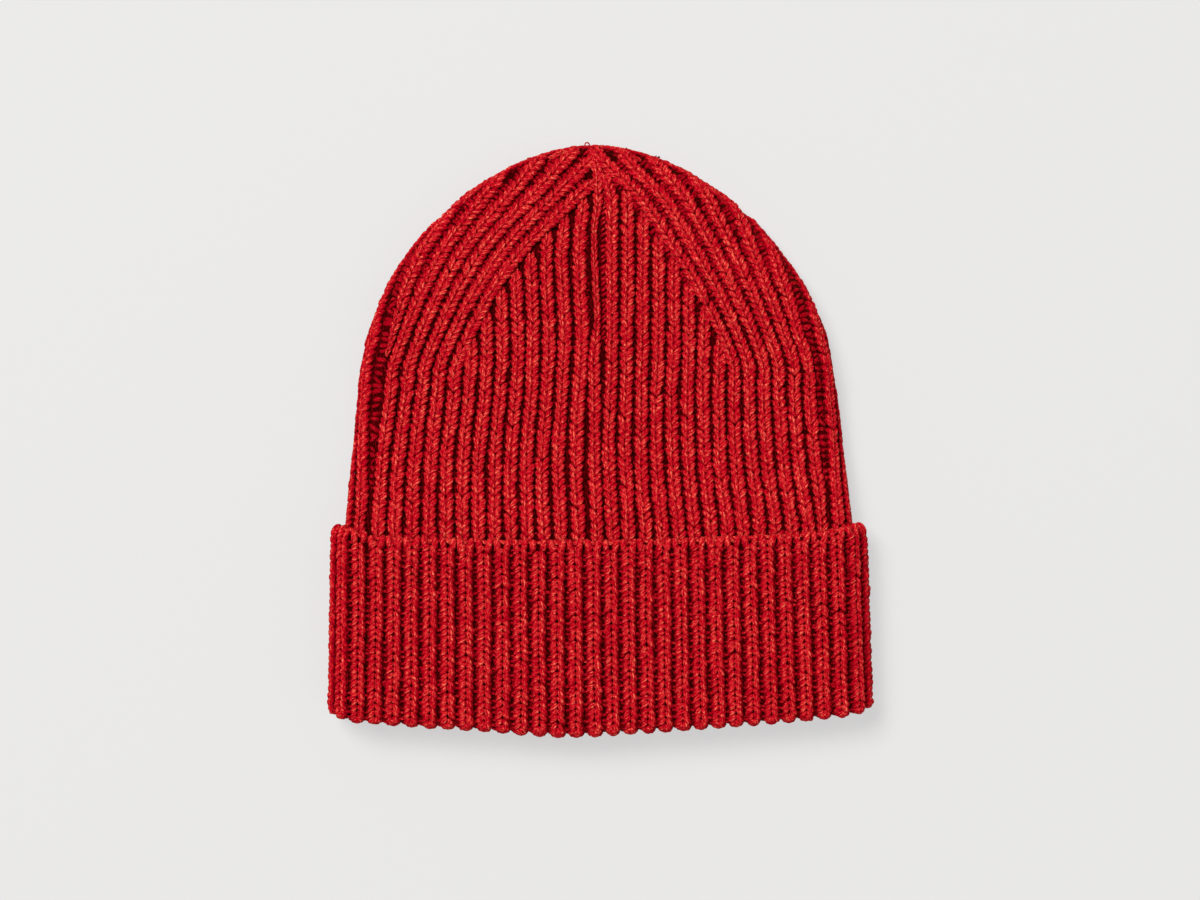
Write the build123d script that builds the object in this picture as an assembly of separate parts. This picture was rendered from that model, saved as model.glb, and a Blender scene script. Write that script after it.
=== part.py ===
"""Ribbed knit beanie with a turned-up cuff, lying flat.

Frame, in millimetres: +X across the flat hat, +Y from the folded mouth to the crown,
+Z up from the surface that the hat lies on, with the seam side on top.  The model is
built with Y = 0 at the outside of the mouth fold, and moved at the end so that the
origin is the middle of the footprint.

The body is a flattened pouch of one knitted fabric.  The cuff is the same fabric turned
up round the mouth.  It is cut at the two side edges into a back half, on top, and a
front half, underneath, and each half hinges about the middle of its fold.
"""
import os
from math import sqrt

from build123d import *

os.makedirs("parts", exist_ok=True)

# ---- driving dimensions ------------------------------------------------------------
overall_length = 226.5
body_width = 191.6           # where the body comes out of the cuff
shoulder_narrowing = 9.2     # how much narrower it is where the crown starts to round in
cuff_side_room = 5.0         # from the body's side to the inside of the cuff's side
cuff_narrowing = 3.5         # how much narrower the cuff is at its cast-on edge
cuff_height = 72.8           # fold to cast-on edge, at the middle of the hat
cuff_edge_bow = 5.0          # how much higher the cast-on edge is at its two corners
shoulder_y = 130.0           # where it starts to round in
crown_roundness = 1.85       # exponent of the crown's outline: 2 would be an ellipse

fabric = 4.0                 # one layer of the body's rib
cuff_fabric = 4.2            # one layer of the cuff, where the rib is slacker
layer_gap = 0.3              # between the cuff and the body
mouth_gap = 7.0              # between the body's two layers inside the cuff
crown_gap = 9.0              # between them at the shoulder
tip_thickness = 6.0          # of both layers together at the very tip
settle_clearance = 1.3       # from the cuff's corners to where the body starts down
settle_length = 33.0         # how far the body takes to come down off the cuff
settle_height = 0.1          # where it lies then, just clear of the surface

cast_on_height = 4.0         # the rolled cast-on edge
cast_on_round = 1.5
seam_width = 3.0
body_seam_x = 1.0            # the seam runs a little off the middle
cuff_seam_x = 2.0
cuff_seam_depth = 2.2
gather_length = 2.0          # the drawn-up yarn that closes the crown
gather_width = 26.0
gather_thickness = 6.0
gather_round = 0.9

# ---- widths and heights --------------------------------------------------------------
shoulder_width = body_width - shoulder_narrowing
cuff_width = body_width + 2 * (cuff_fabric + cuff_side_room)
cuff_stack = cuff_fabric + layer_gap
mouth_thickness = 2 * fabric + mouth_gap
shoulder_thickness = 2 * fabric + crown_gap
overall_height = 2 * cuff_stack + mouth_thickness
middle_z = overall_height / 2

# ---- the fold: the hinge axis lies midway between the cuff and the body's layer -------
hinge_z = overall_height - cuff_fabric - layer_gap / 2
fold_radius = overall_height - hinge_z
hinge_y = fold_radius
hinge_drop = hinge_z - middle_z                   # from the axis down to the side split
body_start = hinge_y + fold_radius + layer_gap
cuff_corner_y = cuff_height + cuff_edge_bow
body_end = overall_length - gather_length
cavity_end = overall_length - 4 * fabric
crown_start = cuff_corner_y + settle_clearance    # the body is straight below this


# ---- the pouch's shape along Y -------------------------------------------------------
def body_half_width(y):
    """Straight taper up to the shoulder, then a superellipse that closes at the tip."""
    if y <= shoulder_y:
        share = (y - crown_start) / (shoulder_y - crown_start)
        return (body_width + (shoulder_width - body_width) * share) / 2
    rise = (y - shoulder_y) / (overall_length - shoulder_y)
    return shoulder_width / 2 * (1 - rise**crown_roundness) ** (1 / crown_roundness)


def settled(y):
    """Smooth step from 0 at the end of the cuff to 1 where the body rests on the surface."""
    share = min(1, max(0, (y - crown_start) / settle_length))
    return share * share * (3 - 2 * share)


def body_thickness(y):
    """Both layers and their gap: a little more at the shoulder, then rounding to the tip."""
    if y <= shoulder_y:
        return mouth_thickness + (shoulder_thickness - mouth_thickness) * settled(y)
    rise = (y - shoulder_y) / (overall_length - shoulder_y)
    return tip_thickness + (shoulder_thickness - tip_thickness) * sqrt(1 - rise**3)


def body_middle(y):
    """Height of the pouch's middle: held up by the cuff at first, on the surface later."""
    lying = settle_height + body_thickness(y) / 2
    return middle_z + (lying - middle_z) * settled(y)


# ---- shapes ------------------------------------------------------------------------
def slot_face(y, half_width, height, z):
    """A flat-sided oval across the hat at y, with its middle at height z."""
    across = Plane(origin=(0, y, z), x_dir=(1, 0, 0), z_dir=(0, -1, 0))
    return across * SlotOverall(2 * half_width, height)


def slot_tube(start, end, half_width, height, z=middle_z):
    """The same oval carried straight along Y from start to end."""
    return extrude(slot_face(start, half_width, height, z), end - start, dir=(0, 1, 0))


def pouch(stations, wall):
    """A closed form through the ovals at these stations, thinner all round by wall."""
    faces = []
    for y in stations:
        height = body_thickness(y) - 2 * wall
        faces.append(slot_face(y, body_half_width(y) - wall, height, body_middle(y)))
    return loft(faces)


def block(low, high):
    """A box between two corners."""
    size = [b - a for a, b in zip(low, high)]
    centre = [(a + b) / 2 for a, b in zip(low, high)]
    return Pos(*centre) * Box(*size)


def fold_ring():
    """The turned fabric at the mouth: a round rope carried along the oval of the fold."""
    side = cuff_width / 2 - fold_radius - hinge_drop
    rope = Plane(origin=(0, hinge_y, hinge_z), x_dir=(0, 1, 0), z_dir=(1, 0, 0))
    run = extrude(rope * Circle(fold_radius), side, both=True)
    runs = run + mirror(run, Plane((0, 0, middle_z)))
    bend = Plane(origin=(side, hinge_y, hinge_z), x_dir=(0, 1, 0), z_dir=(1, 0, 0))
    turn = Axis((side, hinge_y, middle_z), (0, 1, 0))
    right = revolve(bend * Circle(fold_radius), turn, 180)
    return runs + right + mirror(right, Plane.YZ)


def cuff_plan(lowered):
    """Plan of the cuff up to its hollow top edge, lowered by that much, as a tall prism.
    Its sides lean in as the cuff narrows from the fold to the cast-on edge."""
    lean = cuff_narrowing / 2 / cuff_corner_y

    def corner(side, y):
        return (side * (cuff_width / 2 - lean * y), y)

    top = cuff_corner_y - lowered
    foot = [corner(1, -1), corner(-1, -1)]
    sides = Polyline(corner(-1, top), *reversed(foot), corner(1, top))
    edge = ThreePointArc(corner(1, top), (0, cuff_height - lowered), corner(-1, top))
    return extrude(make_face([sides, edge]), overall_height)


def seam_prism(x, floor):
    """The strip of the hat over a floor line of (y, z) points that belongs to the seam."""
    above = [(overall_length, overall_height + 1), (0, overall_height + 1)]
    wall = Plane(origin=(x - seam_width / 2, 0, 0), x_dir=(0, 1, 0), z_dir=(1, 0, 0))
    outline = make_face(Polyline(*floor, *above, floor[0]))
    return extrude(wall * outline, seam_width)


# ---- body --------------------------------------------------------------------------
def crown_stations(end):
    """Where the pouch is drawn: evenly as it comes down off the cuff, then closer and
    closer together as it rounds in, the last one at end."""
    settling = [crown_start + settle_length * s for s in (0, 0.2, 0.4, 0.6, 0.8, 1)]
    rounding = [0, 0.13, 0.27, 0.42, 0.57, 0.7, 0.81, 0.9, 0.96, 1]
    return settling + [shoulder_y + (end - shoulder_y) * s for s in rounding]


def make_body():
    """The pouch less its hollow, open at the mouth."""
    straight = slot_tube(body_start, crown_start, body_width / 2, mouth_thickness)
    hollow = slot_tube(body_start - 1, crown_start, body_width / 2 - fabric, mouth_gap)
    outside = straight + pouch(crown_stations(body_end), 0)
    inside = hollow + pouch(crown_stations(cavity_end), fabric)
    return outside - inside


def body_seam_floor():
    """A line half way down inside the pouch, from the mouth to the tip."""
    stations = [crown_start, crown_start + settle_length, shoulder_y, overall_length]
    return [(0, middle_z)] + [(y, body_middle(y)) for y in stations]


# ---- cuff --------------------------------------------------------------------------
def cuff_band():
    """The turned-up fabric from the fold up past its top edge, hollow for the body."""
    end = cuff_corner_y + 1
    outside = slot_tube(hinge_y, end, cuff_width / 2, overall_height)
    inner_height = overall_height - 2 * cuff_fabric
    inside = slot_tube(hinge_y, end, cuff_width / 2 - cuff_fabric, inner_height)
    return outside - inside


def back_half(shape):
    """The part of a cuff shape above the side split."""
    reach = cuff_width
    return shape & block((-reach, -reach, middle_z + layer_gap / 2), (reach, reach, reach))


def turning_fold():
    """The back half of the fold.  Outside the axis it keeps to a circle about the axis
    that stays above the side split, so the two halves pass each other as they turn."""
    half = back_half(fold_ring())
    across = Plane(origin=(0, hinge_y, hinge_z), x_dir=(0, 1, 0), z_dir=(1, 0, 0))
    circle = Circle(hinge_drop - layer_gap / 2)
    swept = extrude(across * circle, cuff_width, both=True)
    reach = cuff_width
    inner = half & block((-reach, hinge_y, 0), (reach, reach, reach))
    outer = half & block((-reach, -reach, 0), (reach, hinge_y, reach)) & swept
    return inner + outer


def make_cuff_half():
    """The back half of the cuff below its cast-on edge."""
    return back_half(cuff_band() & cuff_plan(cast_on_height)) + turning_fold()


def make_cast_on_half():
    """The rolled edge along the top of the back half, with its outer rims rounded."""
    edge = back_half((cuff_band() & cuff_plan(0)) - cuff_plan(cast_on_height))
    rims = edge.edges().filter_by(lambda e: e.center().Y > cuff_height - 0.5)
    long_rims = rims.filter_by(lambda e: e.length > cuff_width / 2)
    return fillet(long_rims, cast_on_round)


def cuff_seam_floor():
    """Level line a little under the cuff's top face."""
    depth = overall_height - cuff_seam_depth
    return [(hinge_y, depth), (overall_length, depth)]


# ---- the closed crown ----------------------------------------------------------------
def make_gather():
    """The drawn-up yarn on the tip: a small oval button with a rounded end."""
    button = slot_tube(body_end, overall_length, gather_width / 2, gather_thickness,
                       body_middle(body_end))
    end_face = button.faces().sort_by(Axis.Y)[-1]
    return fillet(end_face.edges(), gather_round)


def front_copy(shape):
    """The front half is the back half turned over about the hat's middle plane."""
    return mirror(shape, Plane((0, 0, middle_z)))


body = make_body()
body_seam_space = seam_prism(body_seam_x, body_seam_floor())
cuff_half = make_cuff_half()
cast_on_half = make_cast_on_half()
cuff_seam_space = seam_prism(cuff_seam_x, cuff_seam_floor())

nodes = {
    "knit_body": body - body_seam_space,
    "body_seam": body & body_seam_space,
    "crown_gather": make_gather(),
    "cuff_back": cuff_half - cuff_seam_space,
    "cuff_seam": cuff_half & cuff_seam_space,
    "cast_on_edge_back": cast_on_half,
    "cuff_front": front_copy(cuff_half),
    "cast_on_edge_front": front_copy(cast_on_half),
}

to_origin = Location((0, -overall_length / 2, 0))
for name, shape in nodes.items():
    export_step(shape.moved(to_origin), f"parts/{name}.step")
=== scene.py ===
"""A red 1x1 rib beanie, lying flat with its seam side up and its cuff turned up once.

Every stitch is a pair of plump yarn loops laid along a rib.  A rib is a path on the
middle of the fabric; a stitch is drawn in the rib's own space (across it, along it, out
of the fabric) and carried onto the path, so it bends with the fold and the crown.
Lengths are in millimetres until a mesh is made.
"""

import bpy
import numpy as np
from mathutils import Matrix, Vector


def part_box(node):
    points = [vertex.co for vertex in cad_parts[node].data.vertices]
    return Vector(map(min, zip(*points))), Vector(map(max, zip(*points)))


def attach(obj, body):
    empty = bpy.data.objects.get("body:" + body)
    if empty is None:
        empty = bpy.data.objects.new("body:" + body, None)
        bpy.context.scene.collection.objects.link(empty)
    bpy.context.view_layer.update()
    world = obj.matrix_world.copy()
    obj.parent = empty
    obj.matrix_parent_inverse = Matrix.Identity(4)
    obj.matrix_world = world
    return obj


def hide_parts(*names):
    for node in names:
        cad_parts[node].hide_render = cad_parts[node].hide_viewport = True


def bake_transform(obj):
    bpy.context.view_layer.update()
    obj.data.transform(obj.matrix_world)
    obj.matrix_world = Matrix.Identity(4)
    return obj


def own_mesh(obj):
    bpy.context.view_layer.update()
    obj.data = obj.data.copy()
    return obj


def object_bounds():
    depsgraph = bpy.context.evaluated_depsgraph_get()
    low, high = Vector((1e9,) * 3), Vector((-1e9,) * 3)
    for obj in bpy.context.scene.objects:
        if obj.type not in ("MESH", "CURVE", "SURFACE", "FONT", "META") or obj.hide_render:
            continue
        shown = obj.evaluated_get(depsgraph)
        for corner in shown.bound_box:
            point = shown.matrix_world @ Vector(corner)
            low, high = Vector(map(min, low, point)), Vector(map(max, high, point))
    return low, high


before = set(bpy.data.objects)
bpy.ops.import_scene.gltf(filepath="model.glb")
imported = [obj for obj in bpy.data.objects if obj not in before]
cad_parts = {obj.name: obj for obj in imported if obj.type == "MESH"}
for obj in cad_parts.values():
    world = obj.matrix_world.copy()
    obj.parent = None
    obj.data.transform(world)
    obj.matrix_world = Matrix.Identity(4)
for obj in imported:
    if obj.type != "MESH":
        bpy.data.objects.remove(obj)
cad_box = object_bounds()
scene = bpy.context.scene

MM = 0.001
LAYERS = {1: "back", -1: "front"}   # on top and underneath
HANDS = {1: "right", -1: "left"}
LOW = np.array(cad_box[0]) / MM
HIGH = np.array(cad_box[1]) / MM
rng = np.random.default_rng(7)

# ---- sizes taken from the frame ----
fold_y = LOW[1]             # the outside of the mouth fold
tip_y = HIGH[1]
stack = HIGH[2]             # everything inside the cuff, and the cuff
middle = stack / 2
body_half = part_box("knit_body")[1][0] / MM
body_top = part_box("knit_body")[1][2] / MM
cuff_half = HIGH[0]
cuff_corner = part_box("cast_on_edge_back")[1][1] / MM   # the cuff's top edge at its corners

# ---- the fabric ----
BODY_FABRIC = 4.0
CUFF_FABRIC = 4.2
BODY_ROW = 2.63             # one row of stitches
CUFF_ROW = 2.38             # the cuff is stretched wider, so its rows are closer
PITCH = 5.9                 # rib to rib at the shoulder
CENTRE_RIBS = 8             # from the seam to a crown line
SIDE_RIBS = 6               # from a crown line to the wide gap inside the rim rib
UNDER_RIBS = {1: 9, -1: 8}  # the same underneath, right and left, as far as the rim rib
SIDE_PITCH = {1: 5.8, -1: 6.05}     # rib to rib beside the crown lines, right and left
RIM = {1: 5.6, -1: 5.2}     # from the side edge in to the middle of the rim rib
RIM_OFF = {1: 1.35, -1: 1.1}        # round the crown it moves out by this share of that
RIM_IN = {1: 1.8, -1: 2.6}  # below the shoulder it lies this much further in
RIM_GAP = {1: 1.6, -1: 3.0} # the wide gap inside it
RIM_WIDE = 5.9
CUFF_RIBS = 16              # from the cuff's seam to its side edge
CUFF_PITCH = 6.8            # rib to rib on the whole
CUFF_SPREAD = {1: 6.7, -1: 7.0}     # rib to rib beside the cuff's seam, right and left
UV_LENGTH = 4.0             # this much yarn is one unit of its UV map
EDGE_BOW = 3.2              # the cast-on edge rises this much to the corners
FOLD_BOW = 6.2              # and the fold this much
CUFF_SEAM = 1.25            # from the middle of the hat to the cuff's seam
CUFF_NARROWS = 1.75         # each side, from the fold to the top edge

# ---- the crown ----
SHOULDER = 130.0            # where the sides start to round in, above the fold
SHOULDER_HALF = 90.7        # half the width there
ROUNDNESS = 1.8             # exponent of the crown's outline: 2 would be an ellipse
CROWN_LEAN = -1.0           # the crown lies a little to the left
CROWN_STACK = 17.0          # both layers together at the shoulder
TIP_STACK = 6.0             # and at the tip
LINE_START = 138.0          # the crown lines, above the fold
LINE_END = {1: 218.0, -1: 206.0}
LINE_BEND = {1: 1.3, -1: 1.5}       # they fall as their rise to this power
SETTLE_ROOM = 1.3           # from the cuff's corners to where the body starts down
SETTLE_LENGTH = 33.0        # how far it takes to come down
crown_height = tip_y - fold_y - SHOULDER - BODY_FABRIC / 2
crown_thickness = CROWN_STACK - BODY_FABRIC
tip_thickness = TIP_STACK - BODY_FABRIC
mouth_thickness = 2 * (body_top - middle) - BODY_FABRIC
settle_start = cuff_corner - fold_y + SETTLE_ROOM

# ---- changes up the body: how far above the fold each starts, and how far it takes ----
CROWN_LEANS = (145, 45)
SEAM_CENTRES = (72, 32)     # low down the seam lies a little to the right
SEAM_OPENS = {1: (110, 75), -1: (100, 60)}      # its right and its left side
SEAM_RUNS_OUT = {1: (203, 18), -1: (180, 36)}
SEAM_THINS = (140, 22)      # its rib narrows to half
SEAM_THICKENS = (192, 14)   # and is whole again
TIP_BULGES = (192, 12)      # near the tip it swings right
TIP_CLOSES = (214, 8)
RIM_COMES_OUT = (85, 45)    # the rim rib, from further in
RIM_RUNS_OFF = (148, 40)    # round the crown, over the edge
SIDES_RUN_OFF = (165, 25)   # and the side ribs after it
SIDES_SPREAD = (150, 40)    # their pitch grows
FIRST_RISES = (138, 12)     # the first side rib, over the ends of the centre ribs
UNDER_WITHDRAWS = (95, 45)  # the ribs underneath reach further round the side below this
SIDES_MEET = (205, 12)      # the side ribs run past the seam


def smooth(t):
    """Smooth step from 0 at 0 to 1 at 1."""
    t = np.clip(t, 0, 1)
    return t * t * (3 - 2 * t)


def ease(value, start, reach):
    """Smooth step from 0 at start to 1 at start + reach."""
    return smooth((value - start) / reach)


def unit(v):
    """Each vector divided by its length."""
    return v / np.linalg.norm(v, axis=-1, keepdims=True)


# ---- the body's shape ----
SIDE_ROOM = 0.1             # the fabric's middle lies this much outside the body's own box
SIT = 0.1                   # the body lies this much clear of the floor
LAST_T = SHOULDER + 89.9    # the last t with a normal: at the tip the surface is a point
DT, DS = 0.02, 0.001        # steps in t and in share to take the surface's tangents


def body_outline(t):
    """Distance above the fold, half-width, thickness and middle height of the middle of the
    body's fabric.  t is millimetres above the fold up to the shoulder, and from there on it
    is the shoulder plus degrees round a quarter superellipse."""
    turn = np.radians(np.clip(t - SHOULDER, 0, 90))
    rise = np.sin(turn) ** (2 / ROUNDNESS)
    up = np.minimum(t, SHOULDER) + crown_height * rise
    taper = np.clip((t - settle_start) / (SHOULDER - settle_start), 0, 1)
    straight = body_half + SIDE_ROOM
    half = (straight + (SHOULDER_HALF - straight) * taper) * np.cos(turn) ** (2 / ROUNDNESS)
    down = ease(up, settle_start, SETTLE_LENGTH)
    thick = mouth_thickness + (crown_thickness - mouth_thickness) * down
    thin = tip_thickness + (crown_thickness - tip_thickness) * np.sqrt(np.maximum(1 - rise**3, 0))
    thick = np.minimum(np.where(t < SHOULDER, thick, thin), 2 * half)
    lying = SIT + BODY_FABRIC / 2 + thick / 2
    return up, half, thick, middle + (lying - middle) * down


def oval(g, half, thick):
    """A point on a flat-sided oval at girth g from its top middle, and the outward normal:
    flat out to the round, half a circle down the side, and flat back underneath."""
    radius = np.maximum(thick / 2, 1e-6)
    flat = half - radius
    side = np.where(g < 0, -1.0, 1.0)
    g = np.abs(g)
    turn = np.clip((g - flat) / radius, 0, np.pi)
    x = np.where(g < flat, g, flat + radius * np.sin(turn))
    x = np.where(turn < np.pi, x, flat - (g - flat - np.pi * radius))
    return side * x, radius * np.cos(turn), side * np.sin(turn), np.cos(turn)


def quarter(half, thick):
    """Girth from the top middle of an oval round to the middle of its side."""
    return half - thick / 2 + np.pi * thick / 4


def body_at(t, share):
    """A point on the middle of the body's fabric.  share is 0 at the top middle, 1 at the
    side edge and 2 at the bottom middle, and negative on the left."""
    up, half, thick, height = body_outline(t)
    x, z, _, _ = oval(share * quarter(half, thick), half, thick)
    lean = CROWN_LEAN * ease(up, *CROWN_LEANS)
    return np.stack([x + lean, up + fold_y, z + height], -1)


def body_surface(t, share):
    """The same point with its outward normal, which is square to both of its tangents."""
    near = np.minimum(t, LAST_T)
    along = body_at(near + DT, share) - body_at(near - DT, share)
    across = body_at(near, share + DS) - body_at(near, share - DS)
    return body_at(t, share), unit(np.cross(across, along))


SEAM_SIDE = {1: (1.2, 4.3), -1: (5.9, 3.3)}     # low down and high up, right and left
SEAM_ASIDE = 1.1            # how far right the seam lies by the cuff


def seam_side(up, side, over):
    """Girth from the middle of the body to its first whole rib.  Low down the seam is a rib
    of its own, and leans left; higher up it is half a rib and its bars of yarn; at the
    tip it runs out."""
    low, high = SEAM_SIDE[side] if over > 0 else (3.0, 3.0)
    start, reach = SEAM_OPENS[side]
    turn = np.clip((up - start) / reach, 0, 1) if side > 0 else ease(up, start, reach)
    near = side * SEAM_ASIDE * (1 - ease(up, *SEAM_CENTRES))
    return (low + near + (high - low) * turn) * (1 - ease(up, *SEAM_RUNS_OUT[side]))


def crown_line(t, side, over):
    """Girth of the line that parts the centre ribs from the side ribs: straight up the body,
    then falling towards the seam as 1 - rise^p."""
    up, half, _, _ = body_outline(t)
    rise = np.maximum(up - LINE_START, 0) / (LINE_END[side] - LINE_START)
    stretch = np.where(t < SHOULDER, half / SHOULDER_HALF, 1)
    fall = CENTRE_RIBS * PITCH * (1 - rise ** LINE_BEND[side])
    return (seam_side(up, side, over) + fall) * stretch


def rim_middle(t, side):
    """Girth of the middle of the rim rib, the last one seen from above: a little way in from
    the side edge, and past it where the rib runs off round the crown."""
    up, half, thick, _ = body_outline(t)
    low = RIM_IN[side] * (1 - ease(up, *RIM_COMES_OUT))
    return quarter(half, thick) - low - RIM[side] * (1 - RIM_OFF[side] * ease(up, *RIM_RUNS_OFF))


SPREAD, SPREAD_BEND = 0.31, 1.4     # the side ribs' pitch grows by this, as this power
FIRST_WIDER = 0.2           # the rib left of the seam is wider by this share
RUN_OFF = {1: 4, -1: 7}     # how far past the rim the ribs on top and underneath run


def body_share(rib, t, side, over, centre):
    """Where a rib boundary lies, as a share of the quarter girth.  Centre ribs stand at their
    own pitch, and the one left of the seam is wider.  Side ribs run beside the crown line,
    and their pitch grows as it leans.  They stop short of the rim rib, on top by its wide
    gap, and round the crown they run off over the edge."""
    up, half, thick, _ = body_outline(t)
    girth = quarter(half, thick)
    stretch = np.where(t < SHOULDER, half / SHOULDER_HALF, 1)
    if centre:
        wider = FIRST_WIDER * PITCH if (rib, side, over) == (0, -1, 1) else 0
        return (seam_side(up, side, over) + rib * PITCH - wider) * stretch / girth
    start, reach = SIDES_SPREAD
    growth = 1 + SPREAD * (np.maximum(up - start, 0) / reach) ** SPREAD_BEND
    line = crown_line(t, side, over)
    rim = rim_middle(t, side)
    off = ease(up, *SIDES_RUN_OFF)
    if over > 0:
        pitch = SIDE_PITCH[side] * stretch
        gap = RIM_GAP[side] * (0.3 + 0.7 * ease(up, *RIM_COMES_OUT))
        edge = rim - (RIM_WIDE / 2 + gap) * (1 - off) + RUN_OFF[over] * off
    else:
        low = np.minimum(t, SHOULDER)
        edge = 2 * girth - rim - RIM_WIDE / 2 + RUN_OFF[over] * off
        room = 2 * quarter(*body_outline(low)[1:3]) - rim_middle(low, side) - RIM_WIDE / 2
        pitch = (room - crown_line(low, side, over)) / UNDER_RIBS[side]
    return np.minimum(line + (rib - CENTRE_RIBS) * pitch * growth, edge) / girth


# ---- paths ----
class Path:
    """A rib's middle line with its across and outward directions.  Lengths along it are
    measured at the height of the yarn, 1 mm out of the middle of the fabric.  The line
    drifts slowly sideways.  bend is how sharply the fabric curves across the path, 1 /
    radius: what lies beside the line drops by its distance squared times half of that."""

    def __init__(self, points, normals, width, drift=0.2, bend=0.0):
        along = unit(np.gradient(points, axis=0))
        self.across = unit(np.cross(along, normals))
        self.out = np.cross(self.across, along)
        step = np.linalg.norm(np.diff(points + self.out, axis=0), axis=1)
        self.s = np.concatenate([[0], np.cumsum(step)])
        phase = rng.random(2) * 2 * np.pi
        sway = 0.6 * np.sin(self.s / 13 + phase[0]) + 0.4 * np.sin(self.s / 6.1 + phase[1])
        self.points = points + self.across * (drift * sway)[:, None]
        self.width = width
        self.bend = bend + 0 * self.s
        self.length = self.s[-1]
        self.rows = None

    def at(self, s, values):
        """Values along the path, read at lengths s."""
        if values.ndim == 1:
            return np.interp(s, self.s, values)
        return np.stack([np.interp(s, self.s, v) for v in values.T], -1)

    def place(self, s, a, n):
        """The point at length s, a across (scaled by the rib's own width) and n out."""
        wide = (a * self.at(s, self.width))[..., None]
        out = n[..., None] - wide**2 * self.at(s, self.bend)[..., None] / 2
        return self.at(s, self.points) + self.at(s, self.across) * wide + self.at(s, self.out) * out

    def cut(self, only):
        """The same path with only these samples."""
        self.s, self.points, self.across, self.out, self.width, self.bend = (
            v[only] for v in (self.s, self.points, self.across, self.out, self.width, self.bend))
        self.s = self.s - self.s[0]
        self.length = self.s[-1]
        return self

    def taper(self, ends, thin, dive):
        """Narrows to this share and dives this deep where ends is 0."""
        self.width = self.width * (thin + (1 - thin) * ends)
        self.points = self.points - dive * self.out * (1 - ends)[:, None]
        return self


def gap_across(points, normals, low, high):
    """Width of a rib: the step from one boundary line to the other, square to the rib."""
    across = unit(np.cross(unit(np.gradient(points, axis=0)), normals))
    return np.abs(((high - low) * across).sum(-1))


def body_steps(start):
    """Steps up the body from start above the fold to the tip."""
    return np.concatenate([np.arange(start, SHOULDER, 1.5),
                           np.linspace(SHOULDER, SHOULDER + 89, 75)])


NARROWEST = 1.6             # a side rib ends, and the gap by the rim stays, at this width
PAST_EDGE = 2.4             # how far round the side the ribs on top may run
UNDER_EDGE = (-0.6, 4)      # and those underneath, and how much further by the cuff
FIRST_LIFT = 0.55           # the first side rib lies this much higher than the centre ribs
SEAM_MEETS = 180            # from this far above the fold the side ribs end at the seam


def body_path(rib, side, over, start):
    """Path of one of the body's ribs, from start above the fold to where it runs out: centre
    ribs at the crown line, side ribs at the seam or where they run off over the edge.  The
    first side rib lies over the ends of the centre ribs.  Every rib tapers and dives."""
    t = body_steps(start)
    centre = rib < CENTRE_RIBS
    a, b = (body_share(k, t, side, over, centre) for k in (rib, rib + 1))
    up, half, thick, _ = body_outline(t)
    girth = (a + b) / 2 * quarter(half, thick)
    a, b = (side * (v if over > 0 else 2 - v) for v in (a, b))
    points, normals = body_surface(t, (a + b) / 2)
    wide = gap_across(points, normals, body_at(t, a), body_at(t, b))
    turned = np.linalg.norm(body_surface(t, a)[1] - body_surface(t, b)[1], axis=-1)
    path = Path(points, normals, np.clip(wide / PITCH, 0.45, 1.08),
                bend=np.minimum(turned / np.maximum(wide, 1), 0.25))
    if centre:
        path.cut((up < LINE_START) | (girth < crown_line(t, side, over) + 0.45 * PITCH))
    else:
        if rib == CENTRE_RIBS:
            path.points = path.points + FIRST_LIFT * path.out * ease(up, *FIRST_RISES)[:, None]
        near, more = UNDER_EDGE
        past = PAST_EDGE if over > 0 else near + more * (1 - ease(up, *UNDER_WITHDRAWS))
        seam = seam_side(up, side, over) - 0.1 - 3 * ease(up, *SIDES_MEET)
        path.cut((wide > NARROWEST) & (girth < quarter(half, thick) + past)
                 & ((up < SEAM_MEETS) | (girth > seam)))
    return path.taper(smooth((path.length - path.s) / (5 if centre else 3)), 0.35, 0.6)


def rim_path(side, start, end, gap=False):
    """Path of the rim rib, or of the wide gap inside it."""
    t = body_steps(start)
    t = t[body_outline(t)[0] < end]
    _, half, thick, _ = body_outline(t)
    at = rim_middle(t, side)
    wide = RIM_WIDE + 0 * at
    if gap:
        inner = body_share(CENTRE_RIBS + SIDE_RIBS, t, side, 1, False) * quarter(half, thick)
        wide = np.maximum(at - RIM_WIDE / 2 - inner, NARROWEST)
        at = inner + wide / 2
    points, normals = body_surface(t, side * at / quarter(half, thick))
    path = Path(points, normals, wide / PITCH, 0.15, bend=2 / np.maximum(thick, 5))
    return path.taper(smooth((path.length - path.s) / 6), 1, 1.2)


SEAM_RIB = 5.9              # width of the seam's rib low down
SEAM_AT = -1.2              # and where its middle lies


def seam_path(start, end, aside=None):
    """Path up the seam's own rib: whole low down, half as wide and further right above, and
    nearly whole again at the tip.  Aside of it are its bars of yarn, between it and the
    first rib on its right, and the groove on its left."""
    t = body_steps(start)
    up, half, thick, _ = body_outline(t)
    thin, tip = ease(up, *SEAM_THINS), ease(up, *TIP_BULGES)
    wide = SEAM_RIB - 2.7 * (thin * (1 - ease(up, *SEAM_THICKENS))) - 1.2 * tip
    at = (SEAM_AT + 1.65 * thin + 0.7 * (1 - ease(up, *SEAM_CENTRES))
          + 1.6 * tip * (1 - ease(up, *TIP_CLOSES)))
    if aside == "bars":
        at = at + 1.5
        wide = np.maximum(seam_side(up, 1, 1) - at, 0) + 2.0
        at = at + wide / 2 - 0.6
    if aside == "groove":
        at, wide = 0.5 - seam_side(up, -1, 1), 5.0 + 0 * up
    share = np.clip(at / quarter(half, thick), -0.5, 0.5)
    points, normals = body_surface(t, share)
    return Path(points, normals, wide / PITCH, 0.1).cut((up > start) & (up < end))


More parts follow.
